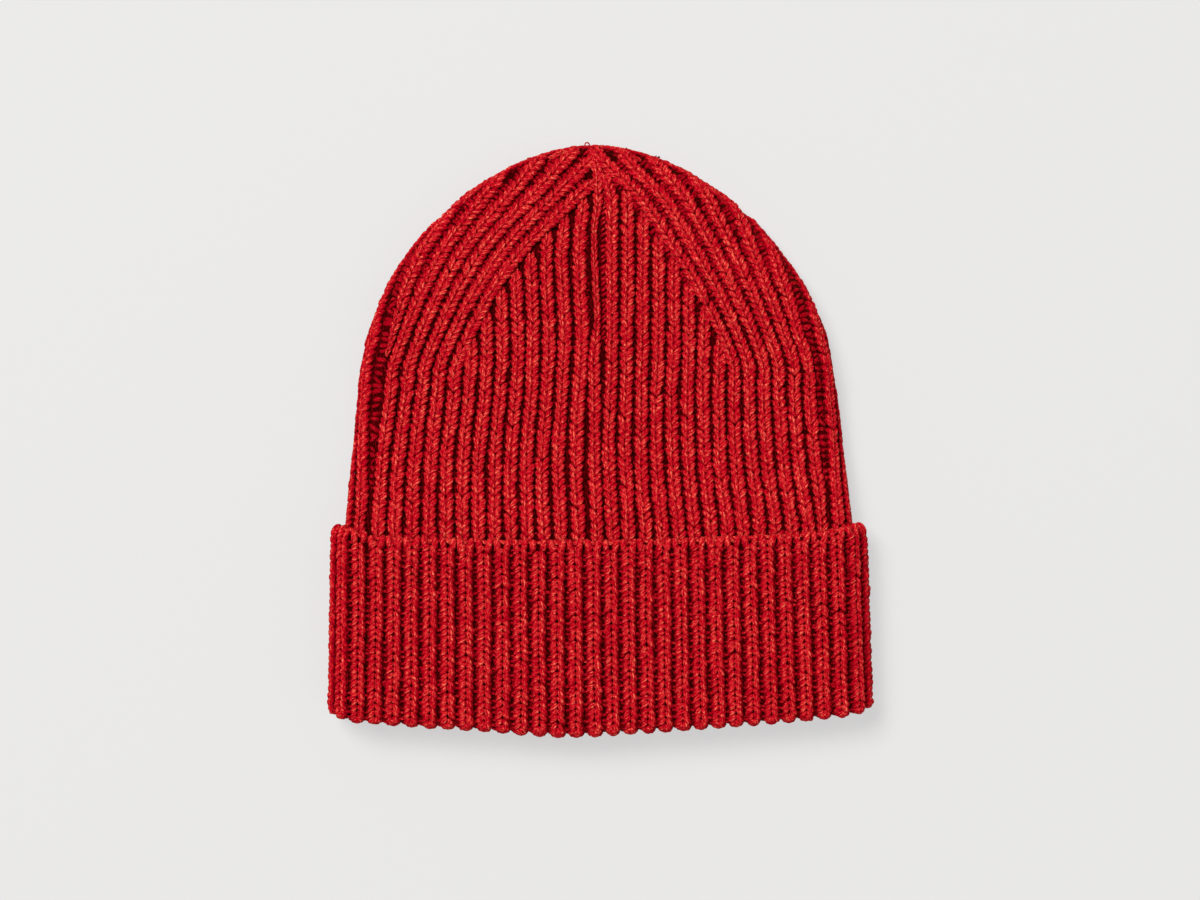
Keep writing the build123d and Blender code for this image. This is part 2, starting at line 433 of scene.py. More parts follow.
# ---- the cuff's shape ----
INSIDE, TURN, OUTSIDE = 24, 25, 60  # samples inside the hat, round the fold, and outside
INSIDE_REACH = 42.0         # how far the inside of the mouth is drawn
CUFF_HEIGHT = cuff_corner - fold_y - EDGE_BOW
FOLD_HEIGHT = 4.0           # about where the fold ends and the outside starts


def cuff_outline(up):
    """Half-width, thickness and quarter girth of the middle of the cuff's fabric."""
    half = cuff_half - CUFF_FABRIC / 2 - CUFF_NARROWS * np.clip(up / CUFF_HEIGHT, 0, 1)
    thick = stack - CUFF_FABRIC + 0 * half
    return half, thick, quarter(half, thick)


def cuff_share(rib, side, over):
    """Where a rib boundary of the cuff lies, as a share of the quarter girth.  On the seam's
    side of the hat the ribs are counted from the seam.  They stand evenly across the
    flat and close up round the side, as the sixth power of the way out."""
    girth = cuff_outline(0.0)[2]
    offset = CUFF_SEAM if over > 0 else 0
    room = girth - side * offset
    pitch = CUFF_SPREAD[side]
    reach = pitch * rib - (pitch * CUFF_RIBS - room) * (rib / CUFF_RIBS) ** 6
    return (offset + side * reach) / girth


DRAW = (0.6, 0.4)           # from this share of the girth the inside draws in to the body
FOLD_REACH = (2.25, 0.8)    # the fold's half-axis along the hat, and how fast it grows
NARROW_FOLD = 2.2           # with half the fold's width past this
FOLD_MIDDLE = -2            # the fold hangs lowest here
FOLD_CORNER = (2.2, 96, 6)  # it rises by this much once more from here on, over this
EDGE_CORNER = {1: (1.7, 85, 13), -1: (3.0, 88, 9)}  # so does the edge, right and left
CORNER_ROUND = (1.35, 4, 90, 12)    # and there its sides draw in this much over this height
SAG = (0.4, 1.1, -18, 18)   # the fold hangs lower all along, and by this much more round here


def cuff_line(share, over):
    """Points and normals of the middle of the fabric, from inside the mouth down to the
    fold, round it, and up the outside to the cast-on edge.  The fold is half an ellipse
    from the body's layer to the cuff's, and at the corners it goes out to the cuff's side
    early on.  The fold and the cuff's edge bow up to the corners, and rise once more on
    them.  There the sides draw in at the top."""
    half, thick, girth = cuff_outline(FOLD_HEIGHT)
    x, z, nx, nz = oval(share * girth, half, thick)
    body = body_half - BODY_FABRIC / 2
    inner = quarter(body, mouth_thickness)
    draw = (1 - inner / girth) * ease(abs(share), *DRAW)
    xb, zb, nxb, nzb = oval(share * girth * (1 - draw), body, mouth_thickness)
    gap = np.array([x - xb, 0, z - zb])
    wide = np.linalg.norm(gap)
    reach = FOLD_REACH[0] + FOLD_REACH[1] * (wide / 2 - NARROW_FOLD)
    corners = [high * ease(side * x, *place) for side, (high, *place) in EDGE_CORNER.items()]
    bow = EDGE_BOW * (abs(x) / 100) ** 1.6 + (corners[0] + corners[1])
    sag = SAG[0] + SAG[1] * np.exp(-((x - SAG[2]) / SAG[3]) ** 2)
    start = (reach + CUFF_FABRIC / 2 + FOLD_BOW * (abs(x - FOLD_MIDDLE) / 100) ** 1.3
             + FOLD_CORNER[0] * ease(abs(x), *FOLD_CORNER[1:]) - sag)
    down = np.linspace(INSIDE_REACH, start, INSIDE)
    inside = np.stack([xb + 0 * down, down, zb + 0 * down], -1)
    inside_normal = np.tile([-nxb, 0, -nzb], (INSIDE, 1))
    turn = np.linspace(0, np.pi, TURN + 2)[1:-1, None]
    centre = np.array([(x + xb) / 2, start, (z + zb) / 2])
    ahead = np.array([0, 1.0, 0])
    fold = centre - gap / 2 * np.cos(turn) - ahead * reach * np.sin(turn)
    sideways = smooth(turn / (0.6 * np.pi))     # it is all the way out before the fold ends
    fold[:, :1] = xb + (x - xb) * sideways
    facing = (1 - sideways) * np.array([nxb, 0, nzb]) + sideways * np.array([nx, 0, nz])
    fold_normal = unit(-unit(facing) * reach * np.cos(turn) - ahead * wide / 2 * np.sin(turn))
    rise = np.linspace(start, CUFF_HEIGHT - CUFF_FABRIC / 2 + bow, OUTSIDE)
    half, thick, girth = cuff_outline(rise - bow)
    xo, zo, nxo, nzo = oval(share * girth, half, thick)
    much, height, *place = CORNER_ROUND
    top = np.clip((rise - rise[-1] + height) / height, 0, 1)
    xo = xo - np.sign(x) * much * top**2 * ease(abs(x), *place)
    outside = np.stack([xo, rise, zo], -1)
    outside_normal = np.stack([nxo, 0 * nxo, nzo], -1)
    points = np.concatenate([inside, fold, outside])
    normals = np.concatenate([inside_normal, fold_normal, outside_normal])
    points[:, 2] = middle + over * points[:, 2]
    normals[:, 2] *= over
    points[:, 1] += fold_y
    return points, normals


def rib_lines(rib, side, over):
    """The cuff's lines at a rib's near boundary, its middle and its far boundary."""
    return [cuff_line(cuff_share(rib + step, side, over), over) for step in (0, 0.5, 1)]


def cuff_path(rib, side, over, turned=1):
    """Path of a rib of the cuff; turned -1 is the same rib on the fabric's other face."""
    (low, _), (points, normals), (high, _) = rib_lines(rib, side, over)
    wide = gap_across(points, normals, low, high)
    return Path(points, normals * turned, wide / CUFF_PITCH, 0.15)


# ---- yarn ----
CROWD = 1.25                # the rings crowd towards the ends as sin(CROWD * u)
BARREL = 0.93               # share of a leg's length between its end rings
PLUMP = 0.75                # exponent of the swell from its ends to its middle


def leg(start, end, long, radius, lift, dive, rings=6, sides=7, across=0, power=2, tilt=0,
        skew=0):
    """One leg of a stitch in its rib's space: across, along, out.  It runs straight from
    start to end across.  Its ends dive into the fabric as a power of the way out, and with
    tilt the far end lies lower than the near one.  It is round, with plump ends drawn to a
    pole at each tip; with skew, plumper towards its far end.  With across, it is turned to
    run across the rib, at that distance from the rib's middle."""
    u = np.sin(np.linspace(-1, 1, rings) * CROWD) / np.sin(CROWD)
    a = start + (end - start) * (u / 2 + 0.5)
    t = u * long / 2 * BARREL
    n = lift - dive * np.abs(u) ** power - tilt * u
    r = radius * np.sqrt(1 - (0.9 * np.abs(u) ** (power / 2)) ** 2) ** PLUMP * (1 + skew * u)
    slope = (end - start) / (long * BARREL)
    lean = 1 / np.sqrt(1 + slope**2)
    angle = (np.arange(sides) / sides - 0.25) * 2 * np.pi
    ring = np.stack([
        a[:, None] + (r * lean)[:, None] * np.cos(angle),
        t[:, None] - (r * lean * slope)[:, None] * np.cos(angle),
        n[:, None] + r[:, None] * np.sin(angle),
    ], -1).reshape(-1, 3)
    poles = [[start, -long / 2, lift - dive * 1.1 + tilt],
             [end, long / 2, lift - dive * 1.1 - tilt]]
    points = np.concatenate([ring, poles])
    # painted light: 0 at the loop's bottom, painted as shade, up to 1 at its top, painted as lit
    painted_light = (points[:, 2] - points[:, 2].min()) / np.ptp(points[:, 2])
    if across:
        points = np.stack([points[:, 1] + across, -points[:, 0], points[:, 2]], -1)
    i, k = (v.ravel() for v in np.meshgrid(np.arange(rings - 1), np.arange(sides), indexing="ij"))
    j = (k + 1) % sides
    quads = np.stack([i * sides + k, (i + 1) * sides + k, (i + 1) * sides + j, i * sides + j], -1)
    v = (u / 2 + 0.5) * long / UV_LENGTH
    round_k, round_j = k / sides, (k + 1) / sides
    quad_uv = np.stack([
        np.stack([round_k, round_k, round_j, round_j], -1),
        np.stack([v[i], v[i + 1], v[i + 1], v[i]], -1)], -1)
    k = np.arange(sides)
    tips, tip_uv = [], []
    for pole, ring, pair, end, tip in ((0, 0, (k, k + 1), v[0], v[0] - 0.1),
                                       (1, rings - 1, (k + 1, k), v[-1], v[-1] + 0.1)):
        tips.append(np.stack([0 * k + rings * sides + pole,
                              *(ring * sides + c % sides for c in pair)], -1))
        tip_uv.append(np.stack([np.stack([k + 0.5, *pair], -1) / sides,
                                np.tile([tip, end, end], (sides, 1))], -1))
    return points, quads, np.concatenate(tips), quad_uv, np.concatenate(tip_uv), painted_light


SIZES, SHIFTS, TURNS, HEIGHTS = 0.06, 0.12, 0.08, 0.05  # how unlike two loops are


def placed(name, data):
    """A new object in the scene."""
    thing = bpy.data.objects.new(name, data)
    scene.collection.objects.link(thing)
    return thing


class Yarn:
    """Collects loops of yarn and sheets of ground, and makes them one mesh.  Each point has
    its loop's tone, and its painted light, which is 0 at the bottom of a loop, painted shade,
    and 1 at its top, a painted highlight."""

    def __init__(self):
        self.parts, self.count = [], 0

    def put(self, points, quads, tris, *values):
        """Adds points and faces with these values: the UVs of the quads and of the tris, and
        the tone and painted light of the points."""
        self.parts.append((points, quads + self.count, tris + self.count, *values))
        self.count += len(points)

    def lay(self, path, rows, template, jitter=1.0):
        """A copy of the template at each of these lengths along the path.  Each copy is a
        little larger or smaller, shifted and turned than the next, and lower where the
        rib is narrow."""
        shape, quads, tris, quad_uv, tri_uv, painted_light = template
        many = len(rows)
        if not many:
            return
        size = 1 + SIZES * jitter * rng.standard_normal((many, 1))
        shift = SHIFTS * jitter * rng.standard_normal((many, 3, 1))
        turn = TURNS * jitter * rng.standard_normal((many, 1))
        a0, t0, n0 = shape.T
        a = a0 * size - t0 * turn + shift[:, 0] * 0.6
        t = t0 * size + a0 * turn + shift[:, 1]
        low = np.clip(0.4 + 0.6 * path.at(rows, path.width), 0.45, 1)[:, None]
        n = n0 * (1 + HEIGHTS * jitter * rng.standard_normal((many, 1)))
        n = (n + shift[:, 2] * 0.6) * low
        s = np.clip(rows[:, None] + t, path.s[0], path.length)
        start = np.arange(many)[:, None, None] * len(shape)
        self.put(path.place(s, a, n).reshape(-1, 3), (quads + start).reshape(-1, 4),
                 (tris + start).reshape(-1, 3), np.tile(quad_uv, (many, 1, 1)),
                 np.tile(tri_uv, (many, 1, 1)), np.repeat(rng.random(many), len(shape)),
                 np.tile(painted_light, many))

    def ground(self, points, normals, outer, inner, wrap=False, painted_light=0.0):
        """A thin closed sheet on a grid of points, from outer to inner along the normals.
        Each row runs out along the sheet and back underneath; where the rows wrap round,
        each sheet is a ring and the two are joined at their first and last rows.  Its painted
        light is one value all over, by default as dark as the painted shade at a loop's bottom."""
        top = points + outer * normals
        under = points + inner * normals
        rows, columns = points.shape[:2]
        grid = (np.concatenate([top, under[::-1]], axis=0) if wrap else
                np.concatenate([top, under[:, ::-1]], axis=1))
        m, n = grid.shape[:2]
        i, j = np.meshgrid(np.arange(m if wrap else m - 1), np.arange(n), indexing="ij")
        i, j = i.ravel(), j.ravel()
        i2, j2 = (i + 1) % m, (j + 1) % n
        quads = np.stack([i * n + j, i * n + j2, i2 * n + j2, i2 * n + j], -1)
        if not wrap:
            c = np.arange(columns - 1)
            cap = np.stack([c, 2 * columns - 1 - c, 2 * columns - 2 - c, c + 1], -1)
            quads = np.concatenate([quads, cap, cap[:, ::-1] + (rows - 1) * n])
        flat = grid.reshape(-1, 3)
        p, q, r, s = (flat[quads[:, k]] - flat.mean(0) for k in range(4))
        if (np.cross(q - p, s - p) * p).sum() + (np.cross(s - r, q - r) * r).sum() < 0:
            quads = quads[:, ::-1]
        uv = np.stack([quads % n / 3, quads // n / 3], -1)
        self.put(flat, quads, np.zeros((0, 3), int), uv, np.zeros((0, 3, 2)),
                 np.full(len(flat), 0.5), np.full(len(flat), painted_light))

    def make(self, name):
        """The mesh of everything laid so far, smooth shaded, as an object at the origin."""
        points, quads, tris, *uvs, tone, painted_light = map(np.concatenate, zip(*self.parts))
        uv = np.concatenate([values.reshape(-1, 2) for values in uvs])
        mesh = bpy.data.meshes.new(name)
        corners = np.concatenate([quads.ravel(), tris.ravel()]).astype(np.int32)
        totals = np.repeat([4, 3], [len(quads), len(tris)])
        starts = (np.cumsum(totals) - totals).astype(np.int32)
        mesh.vertices.add(len(points))
        mesh.vertices.foreach_set("co", (points * MM).astype(np.float32).ravel())
        mesh.loops.add(len(corners))
        mesh.loops.foreach_set("vertex_index", corners)
        mesh.polygons.add(len(totals))
        mesh.polygons.foreach_set("loop_start", starts)
        mesh.polygons.foreach_set("use_smooth", np.ones(len(totals), bool))
        mesh.update(calc_edges=True)
        mesh.uv_layers.new(name="Yarn").uv.foreach_set("vector", uv.astype(np.float32).ravel())
        for label, values in (("tone", tone), ("painted_light", painted_light)):
            attribute = mesh.attributes.new(label, "FLOAT", "POINT")
            attribute.data.foreach_set("value", values.astype(np.float32))
        return placed(name, mesh)


# ---- pieces ----
# how finely a loop is drawn
FINE, PLAIN, THICK, ROUND = ({"rings": rings, "sides": sides}
                             for rings, sides in ((6, 7), (4, 5), (5, 6), (6, 6)))


def stitch(start, end, long, radius, lift, dive, tilt, skew, finish):
    """Both legs of a stitch: the second is the first on the rib's other side."""
    return [leg(hand * start, hand * end, long, radius, lift, dive, tilt=tilt, skew=skew,
                **finish) for hand in (-1, 1)]


def body_stitch(finish):
    """A V that opens upwards."""
    return stitch(start=0.0, end=2.1, long=4.3, radius=1.02, lift=0.9, dive=0.45, tilt=0.22,
                  skew=0.22, finish=finish)


def cuff_stitch(finish):
    """A wide V upside down, because the cuff is turned up."""
    return stitch(start=2.45, end=0.3, long=3.7, radius=1.1, lift=0.85, dive=0.45, tilt=-0.3,
                  skew=0.0, finish=finish)


def with_painted_light(template, share):
    """The same loop with its painted light scaled by share: below 1 painted shade, as dark as a
    loop that lay lower in the fabric; above 1 a painted highlight.
    """
    return template[:-1] + (template[-1] * share,)


# long, radius, lift, dive, across, tilt and finish of each bar of yarn, and its share of painted
# light: below 1 it is painted in shade
BODY_BAR, PURL_BAR, CUFF_BAR, GROOVE_BAR, *RUNGS = (
    with_painted_light(leg(0, 0, long, radius, lift, dive, across=across, tilt=tilt, **finish), light)
    for long, radius, lift, dive, across, tilt, finish, light in (
        (2.4, 0.5, -0.4, 0.3, -2.8, -0.3, PLAIN, 0.45),     # between two ribs of the body
        (3.2, 0.7, -0.2, 0.5, -2.9, -0.3, THICK, 0.65),     # where the ribs of the crown part
        (2.3, 0.6, 0.2, 0.3, -3.1, -0.5, PLAIN, 0.7),       # between two ribs of the cuff
        (2.4, 0.6, -0.2, 0.4, 0.01, 0.3, PLAIN, 0.5),       # in the groove left of the seam
        (8.4, 0.95, 0.0, 0.7, -0.9, -0.3, ROUND, 0.66),     # in the gap by the rim, right
        (8.4, 0.95, 0.0, 0.7, 0.9, -0.3, ROUND, 0.66)))     # and left
RUNG = dict(zip(HANDS, RUNGS))
# painted shade on the seam's bars
SEAM_BAR = with_painted_light(leg(0.8, -0.8, 3.4, 0.66, 0.1, 0.5, across=0.2, tilt=-0.3, **THICK), 0.8)
CAST_ON = [leg(hand * 1.6, hand * 2.4, 8.0, 1.3, 0.1, 0.9, 11, 8, power=5) for hand in (-1, 1)]
# a painted highlight on the twist along the cast-on edge
LIP_TWIST = with_painted_light(leg(-0.5, 0.5, 4.8, 0.85, -0.1, 0.6, 6, 7), 1.1)
TURN_LOOP = leg(0, 0, 5.7, 1.4, 0.8, 1.05, 7, 8, across=0.01)


def knit(yarn, path, start, end, row, legs, bar=None, jitter=1.0):
    """Rows of stitches along part of a path, and the bar of yarn that crosses to the next
    rib.  The rows of a whole path are drawn once, so its parts meet."""
    if path.rows is None:
        path.rows = np.arange(1.5, path.length - 1, row)
        path.rows = path.rows + 0.14 * rng.standard_normal(len(path.rows))
    rows = path.rows[(path.rows >= start) & (path.rows < end)]
    for template in legs:
        yarn.lay(path, rows, template, jitter)
    if bar:
        yarn.lay(path, rows + 0.5 * row, bar, 1.5 * jitter)


made = {}


def keep(yarn, name, body=None):
    """A finished piece, remembered by its name."""
    piece = yarn.make(name)
    made[name] = piece
    if body:
        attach(piece, body)


ROUGH, ROUGHER = 0.9, 1.1   # how uneven the crown's stitches are, and those at the right side
GROUND_PAINTED_SHADE = -0.3         # painted light of the sheets that show only between the ribs: painted shade, darker than any loop
# and heights above the fold
BODY_START = 8.0            # where the body's outer face starts, inside the fold
ROUGH_START = 158.0         # above here the decreases pull the stitches about
RIM_END = 200
RUNGS_SEEN = (96, 192)      # where the wide gap inside the rim rib shows its rungs
SEAM_END = 224
BARS_SEEN = (150, 212)      # where the seam shows its bars
GROOVE_SEEN = (150, 200)    # and the groove on its left
CENTRE_END = 221            # of the rib underneath that stands opposite the seam
for over, layer in LAYERS.items():
    legs = body_stitch(FINE if over > 0 else PLAIN)
    for side, hand in HANDS.items():
        side_ribs = SIDE_RIBS if over > 0 else UNDER_RIBS[side]
        for part, ribs in (("middle", range(CENTRE_RIBS)),
                           ("side", range(CENTRE_RIBS, CENTRE_RIBS + side_ribs))):
            yarn = Yarn()
            for rib in ribs:
                path = body_path(rib, side, over, BODY_START)
                crown = np.interp(ROUGH_START, path.points[:, 1] - fold_y, path.s)
                rough = ROUGHER if (side, part, over) == (1, "side", 1) else ROUGH
                knit(yarn, path, 0, crown, BODY_ROW, legs, BODY_BAR)
                knit(yarn, path, crown, path.length, BODY_ROW, legs,
                     PURL_BAR if part == "side" else BODY_BAR, rough)
                if part == "side" and over > 0:
                    yarn.lay(path, path.rows[path.rows > crown + 12], PURL_BAR, 1.5)
            keep(yarn, f"body_{layer}_{part}_{hand}", body="hat")

for side, hand in HANDS.items():
    yarn = Yarn()
    path = rim_path(side, BODY_START, RIM_END)
    knit(yarn, path, 0, path.length, BODY_ROW, body_stitch(FINE), BODY_BAR)
    path = rim_path(side, *RUNGS_SEEN, gap=True)
    yarn.lay(path, np.arange(1, path.length, BODY_ROW), RUNG[side], 2.2)
    keep(yarn, f"rim_rib_{hand}", body="hat")

seam = Yarn()
path = seam_path(BODY_START, SEAM_END)
knit(seam, path, 0, path.length, BODY_ROW, body_stitch(FINE))
path = seam_path(*BARS_SEEN, "bars")
seam.lay(path, np.arange(1, path.length, 0.8 * BODY_ROW), SEAM_BAR, 2.0)
path = seam_path(*GROOVE_SEEN, "groove")
seam.lay(path, np.arange(1, path.length, BODY_ROW), GROOVE_BAR, 2.0)
keep(seam, "seam_up_the_body", "hat")
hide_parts("body_seam")

# a thin sheet just inside the middle of the fabric, seen only between the ribs, painted darker than
# any loop as painted shade in the gaps
base = Yarn()
t = np.concatenate([np.arange(BODY_START + 1, SHOULDER, 3.0),
                    np.linspace(SHOULDER, SHOULDER + 89.8, 60)])
grid = np.meshgrid(t, np.linspace(-2, 2, 201)[:-1], indexing="ij")
base.ground(*body_surface(*grid), -0.1, -0.6, wrap=True, painted_light=GROUND_PAINTED_SHADE)
keep(base, "body_ground", body="hat")
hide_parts("knit_body")

# the rib underneath that stands opposite the seam
yarn = Yarn()
t = body_steps(BODY_START)
path = Path(*body_surface(t, 2 + 0 * t), 1 + 0 * t).cut(body_outline(t)[0] < CENTRE_END)
knit(yarn, path, 0, path.length, BODY_ROW, body_stitch(PLAIN), BODY_BAR)
keep(yarn, "body_front_centre_rib", body="hat")

# the drawn-up tip: strands over the crown's edge, and the tiny loop of the yarn's end.
# Each strand has its share of the girth, its width, the degrees round the crown where it
# starts and ends, and its lift.
gather = Yarn()
for share, wide, low, lift in ((0.72, 0.6, 70, 0.4), (0.92, 0.7, 46, 0.4),
                               (1.08, 0.75, 38, 0.4), (1.0, 1.0, 72, -0.7)):
    t = np.concatenate([np.linspace(low, 88, 60), np.linspace(88, low, 60)]) + SHOULDER
    points, normals = body_surface(t, np.repeat([share, -share], 60))
    kernel = np.ones(15) / 15
    points, normals = (np.stack([np.convolve(v, kernel, "valid") for v in grid.T], -1)
                       for grid in (points, normals))
    path = Path(points + lift * unit(normals), unit(normals), np.full(len(points), wide), 0.3)
    path.taper(smooth(np.minimum(path.s, path.length - path.s) / 10), 0.6, 0.9)
    knit(gather, path, 0, path.length, BODY_ROW, body_stitch(FINE))
turn = np.linspace(0, 2 * np.pi, 25)
small = 0.9     # radius of the loop
points = np.stack([-3 + small * np.sin(turn), tip_y - 0.2 - small * np.cos(turn),
                   3 + 0.3 * turn], -1)
loop = Path(points, np.tile([0, 0, 1.0], (25, 1)), np.ones(25), 0)
gather.lay(loop, np.array([loop.length / 2]), leg(0, 0, 6, 0.3, 0, 0, 14, 6), 0)
keep(gather, "crown_gather_yarn", "hat")
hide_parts("crown_gather")


LIP = 0.7                   # radius that the middle of the fabric turns through at the edge
LIP_RISE, LIP_FALL = 8, 4   # how far the cast-on loops reach down in front and behind


def lip_path(rib, side, over):
    """Path over the cast-on edge: up the outside of a rib, half round the edge, and a little
    way down behind it."""
    (low, _), (points, normals), (high, _) = rib_lines(rib, side, over)
    edge, out = points[-1], normals[-1]
    along = unit(points[-1] - points[-2])
    rise = np.linspace(-LIP_RISE, 0, 9)[:-1, None]
    turn = np.linspace(0, np.pi, 13)[:, None]
    fall = np.linspace(0, -LIP_FALL, 5)[1:, None]
    tipping = np.cos(turn) * out + np.sin(turn) * along
    line = edge + np.concatenate([rise * along + LIP * out, LIP * tipping,
                                  fall * along - LIP * out])
    facing = np.concatenate([out + 0 * rise, tipping, -out + 0 * fall])
    wide = np.linalg.norm(high[-1] - low[-1])
    return Path(line, facing, np.full(len(line), wide / CUFF_PITCH), 0)


def cuff_grid(low, high, over, steps, rows):
    """Grid of points and normals on the middle of the cuff between two rib boundaries; left
    is negative."""
    low, high = (cuff_share(abs(rib), np.sign(rib), over) for rib in (low, high))
    lines = [cuff_line(share, over) for share in np.linspace(low, high, steps)]
    return (np.stack([line[k][rows] for line in lines], 1) for k in (0, 1))


def edge_path(low, high, over, rise):
    """Path that runs this much beyond the cast-on edge between two rib boundaries."""
    points, normals = (grid[0] for grid in cuff_grid(low, high, over, 160, slice(-1, None)))
    points[:, 1] += rise
    return Path(points, normals, np.ones(len(points)), 0.1)


FLAT_RIBS = 13              # the rest go round the side
FOLD_ROWS = slice(INSIDE - 1, INSIDE + TURN + 1)
CUFF_ROWS = slice(INSIDE + TURN, None)
for over, layer in LAYERS.items():
    legs = cuff_stitch(FINE if over > 0 else PLAIN)
    body = f"cuff_{layer}_half"
    flats, sides = ([Yarn() for _ in range(3)] for _ in range(2))
    inside, fold, corner = Yarn(), Yarn(), {}
    for side in HANDS:
        for rib in range(CUFF_RIBS):
            flat = rib < FLAT_RIBS
            ribs, lining, edge = flats if flat else sides
            path = cuff_path(rib, side, over)
            fold_start, fold_end = path.s[INSIDE], path.s[INSIDE + TURN - 1]
            knit(ribs, path, fold_end, path.length - 1.6, CUFF_ROW, legs, CUFF_BAR)
            knit(inside, path, 0, fold_start, CUFF_ROW, cuff_stitch(PLAIN), CUFF_BAR)
            turn_yarn = fold if flat else corner.setdefault((side, rib), Yarn())
            knit(turn_yarn, path, fold_start, fold_end, CUFF_ROW, legs, CUFF_BAR)
            turned = path.s[INSIDE + TURN // 2] + 1.3 * np.arange(-2, 3)
            turn_yarn.lay(path, turned, TURN_LOOP, 0.5)
            back = cuff_path(rib, side, over, -1)
            near = np.clip(BODY_START + 1 - back.points[INSIDE - 1, 1] + fold_y, 0, 5)
            past = back.s[INSIDE + TURN] + 2
            knit(turn_yarn, back, back.s[INSIDE - 1] - near, past, CUFF_ROW, cuff_stitch(PLAIN))
            knit(lining, back, past, back.length - 3, CUFF_ROW, legs)
            lip = lip_path(rib, side, over)
            for strand in CAST_ON:
                edge.lay(lip, np.array([8.6]), strand, 0.8)
            # round the side, dark sheets of painted shade fill the gaps between the ribs
            if not flat:
                place = (side * rib, side * (rib + 1), over, 5)
                turn_yarn.ground(*cuff_grid(*place, FOLD_ROWS), -0.3, -0.8, painted_light=GROUND_PAINTED_SHADE)
                ribs.ground(*cuff_grid(*place, CUFF_ROWS), -0.3, -0.8, painted_light=GROUND_PAINTED_SHADE)
    for parts, low, high in ((flats, -FLAT_RIBS, FLAT_RIBS), (sides, FLAT_RIBS, CUFF_RIBS),
                             (sides, -CUFF_RIBS, -FLAT_RIBS)):
        rope = edge_path(low, high, over, 0.5)
        parts[-1].lay(rope, np.arange(1.5, rope.length, 2.9), LIP_TWIST, 1.8)
    place = (-FLAT_RIBS, FLAT_RIBS, over, 105)
    fold.ground(*cuff_grid(*place, FOLD_ROWS), 0.3, -0.4)
    # a dark sheet of painted shade fills the gaps between the flat ribs
    flats[0].ground(*cuff_grid(*place, CUFF_ROWS), -0.4, -0.9, painted_light=GROUND_PAINTED_SHADE)
    for (start, end), *pair in zip((("cuff", "ribs"), ("cuff", "lining"), ("cast_on", "loops")),
                                   flats, sides):
        for yarn, between in zip(pair, ("", "side_")):
            keep(yarn, f"{start}_{between}{end}_{layer}", body=body)
    keep(inside, f"mouth_inside_{layer}", body="hat")
    keep(fold, f"fold_{layer}")
    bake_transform(made[f"fold_{layer}"])
    for (side, rib), yarn in corner.items():
        name = f"fold_{layer}_{HANDS[side]}_{rib}"
        keep(yarn, name)
        points, _ = cuff_line(cuff_share(rib + 0.5, side, over), over)
        a, b = points[INSIDE] * MM, points[INSIDE + TURN - 1] * MM
        a[1] = b[1]
        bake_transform(made[name])
    for name in ("cuff_side_ribs", "cast_on_side_loops", "cuff_side_lining"):
        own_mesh(made[f"{name}_{layer}"])
    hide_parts(f"cuff_{layer}")
    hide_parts(f"cast_on_edge_{layer}")
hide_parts("cuff_seam")


# ---- materials ----
def linear(colour):
    """An sRGB hex colour as linear light."""
    channels = [int(colour[i:i + 2], 16) / 255 for i in (1, 3, 5)]
    return [c / 12.92 if c <= 0.04045 else ((c + 0.055) / 1.055) ** 2.4 for c in channels] + [1]


def add(tree, kind, links=None, **settings):
    """A node with its settings; links gives each input a value or another node's output."""
    node = tree.nodes.new(kind)
    for key, value in settings.items():
        setattr(node, key, value)
    for key, value in (links or {}).items():
        if isinstance(value, bpy.types.NodeSocket):
            tree.links.new(value, node.inputs[key])
        else:
            node.inputs[key].default_value = value
    return node


def calc(tree, operation, *values):
    """The result of an operation on numbers and other nodes' outputs."""
    return add(tree, "ShaderNodeMath", dict(enumerate(values)), operation=operation).outputs[0]


def blank(name):
    """A new material and its empty tree of nodes."""
    material = bpy.data.materials.new(name)
    material.use_nodes = True
    material.node_tree.nodes.clear()
    return material, material.node_tree


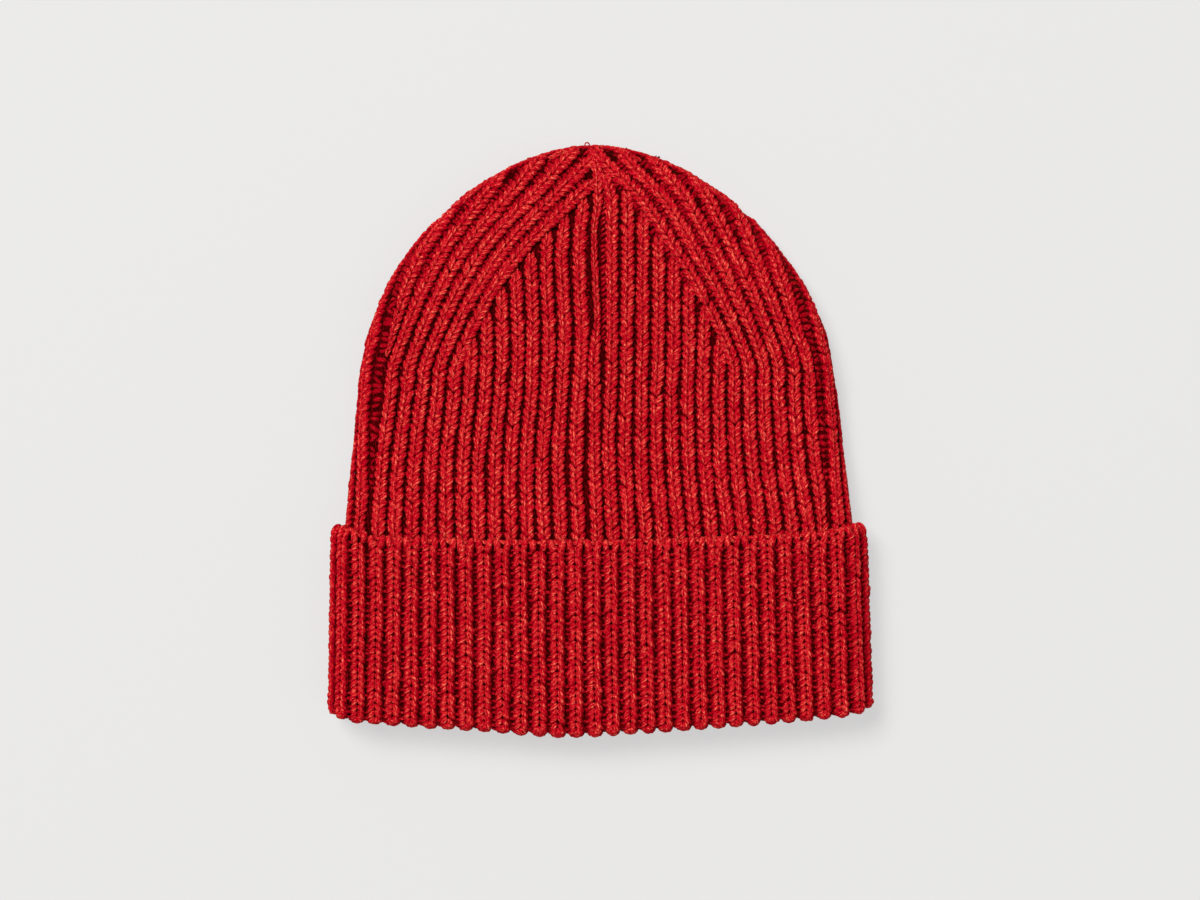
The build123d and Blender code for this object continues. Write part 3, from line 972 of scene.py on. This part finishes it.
def dyed_wool(name):
    """Carded wool dyed red before spinning, plied from four strands: matt, with fine paler
    fibres along each strand, painted shade where the loops sink into the fabric and
    painted highlights at their tops."""
    material, tree = blank(name)
    uv = add(tree, "ShaderNodeUVMap", uv_map="Yarn")
    tone, painted_light = (add(tree, "ShaderNodeAttribute", attribute_name=label).outputs["Fac"]
                   for label in ("tone", "painted_light"))
    place = add(tree, "ShaderNodeTexCoord").outputs["Object"]
    split = add(tree, "ShaderNodeSeparateXYZ", {0: uv.outputs[0]})
    # plies: four round the yarn, one turn in 8 mm, parted by sharp dark lines of painted shade in
    # the crevices between them
    around = calc(tree, "MULTIPLY", split.outputs[0], 4.0)
    spiral = calc(tree, "MULTIPLY_ADD", split.outputs[1], 1.3, around)
    ply = calc(tree, "ABSOLUTE", calc(tree, "SINE", calc(tree, "MULTIPLY", spiral, np.pi)))
    # fibres: streaks 0.25 mm wide and 2 mm long that follow the plies
    own = calc(tree, "MULTIPLY", tone, 40.0)
    strand = add(tree, "ShaderNodeCombineXYZ", {0: spiral, 1: split.outputs[1], 2: own})
    stretch = add(tree, "ShaderNodeVectorMath", {0: strand.outputs[0], 1: (3.4, 2.4, 1.0)},
                  operation="MULTIPLY")
    fibre = add(tree, "ShaderNodeTexNoise", {"Vector": stretch.outputs[0], "Scale": 1.3,
                                             "Detail": 1.5, "Roughness": 0.6}).outputs[0]
    # specks: loose fibre ends 0.7 mm apart that break up the light
    speck = add(tree, "ShaderNodeTexNoise", {"Vector": place, "Scale": 1400.0,
                                             "Detail": 1.0, "Roughness": 0.6}).outputs[0]
    # shade: their weighted sum runs from the painted shade of the gaps to the lightest fibre ends;
    # the painted light adds painted shade low in each loop and a painted highlight at its top
    shade = -0.04
    for part, weight in ((fibre, 0.72), (speck, 0.30), (tone, 0.05), (ply, 0.06), (painted_light, 0.30)):
        shade = calc(tree, "MULTIPLY_ADD", part, weight, shade)
    ramp = add(tree, "ShaderNodeValToRGB", {0: shade})
    stops = ramp.color_ramp.elements
    stops[0].position, stops[0].color = 0.42, linear("#2c0000")
    stops[1].position, stops[1].color = 1.0, linear("#ff7c5c")
    for position, colour in ((0.54, "#640006"), (0.66, "#980014"), (0.78, "#b8001a"),
                             (0.89, "#dc2e30")):
        stops.new(position).color = linear(colour)
    height = calc(tree, "MULTIPLY_ADD", speck, 0.8, fibre)
    bump = add(tree, "ShaderNodeBump", {"Height": height, "Strength": 1.0, "Distance": 0.0005})
    cloth = add(tree, "ShaderNodeBsdfPrincipled", {
        "Base Color": ramp.outputs[0], "Normal": bump.outputs[0], "Roughness": 0.9,
        "IOR": 1.45, "Specular IOR Level": 0.02, "Sheen Weight": 0.16, "Sheen Roughness": 0.2,
        "Sheen Tint": linear("#ff5a30")})
    add(tree, "ShaderNodeOutputMaterial", {"Surface": cloth.outputs[0]})
    return material


wool = dyed_wool("dyed wool yarn")
for piece in made.values():
    piece.data.materials.append(wool)
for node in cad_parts.values():
    node.data.materials.clear()
    node.data.materials.append(wool)

# ---- the room ----
floor_mesh = bpy.data.meshes.new("floor")
floor_mesh.from_pydata([(-3, -3, 0), (3, -3, 0), (3, 3, 0), (-3, 3, 0)], [], [(0, 1, 2, 3)])
floor = placed("floor", floor_mesh)
paper, tree = blank("matt paper floor")
sheet = add(tree, "ShaderNodeBsdfDiffuse", {"Color": linear("#dcdad8")})
glow = add(tree, "ShaderNodeEmission", {"Color": linear("#e6e6e6"), "Strength": 1.0})
seen = add(tree, "ShaderNodeLightPath").outputs["Is Camera Ray"]
evened = calc(tree, "MULTIPLY", seen, 0.7)      # so the paper looks pale all over
both = add(tree, "ShaderNodeMixShader", {0: evened, 1: sheet.outputs[0], 2: glow.outputs[0]})
add(tree, "ShaderNodeOutputMaterial", {"Surface": both.outputs[0]})
floor_mesh.materials.append(paper)

scene.world = bpy.data.worlds.new("studio")
scene.world.use_nodes = True
background = scene.world.node_tree.nodes["Background"]
background.inputs[0].default_value = linear("#ffffff")
background.inputs[1].default_value = 0.28
for name, place, size, power in (("window", (-1.9, 2.2, 4.8), 2.4, 345.0),
                                 ("fill", (1.8, -1.0, 2.6), 2.4, 12.0)):
    lamp = bpy.data.lights.new(name, "AREA")
    lamp.size = size
    lamp.energy = power
    light = placed(name, lamp)
    light.location = place
    light.rotation_euler = (-light.location).to_track_quat("-Z", "Y").to_euler()
scene.view_settings.view_transform = "Standard"

camera_data = bpy.data.cameras.new("camera")
camera_data.lens = 85
camera_data.sensor_width = 36
camera_data.clip_end = 20
camera = placed("camera", camera_data)
camera.location = (0.00077, -0.0048, 1.098)     # straight above, and almost at the middle
camera.rotation_euler = (0, 0, -0.010)          # the hat lies a trifle askew
scene.camera = camera
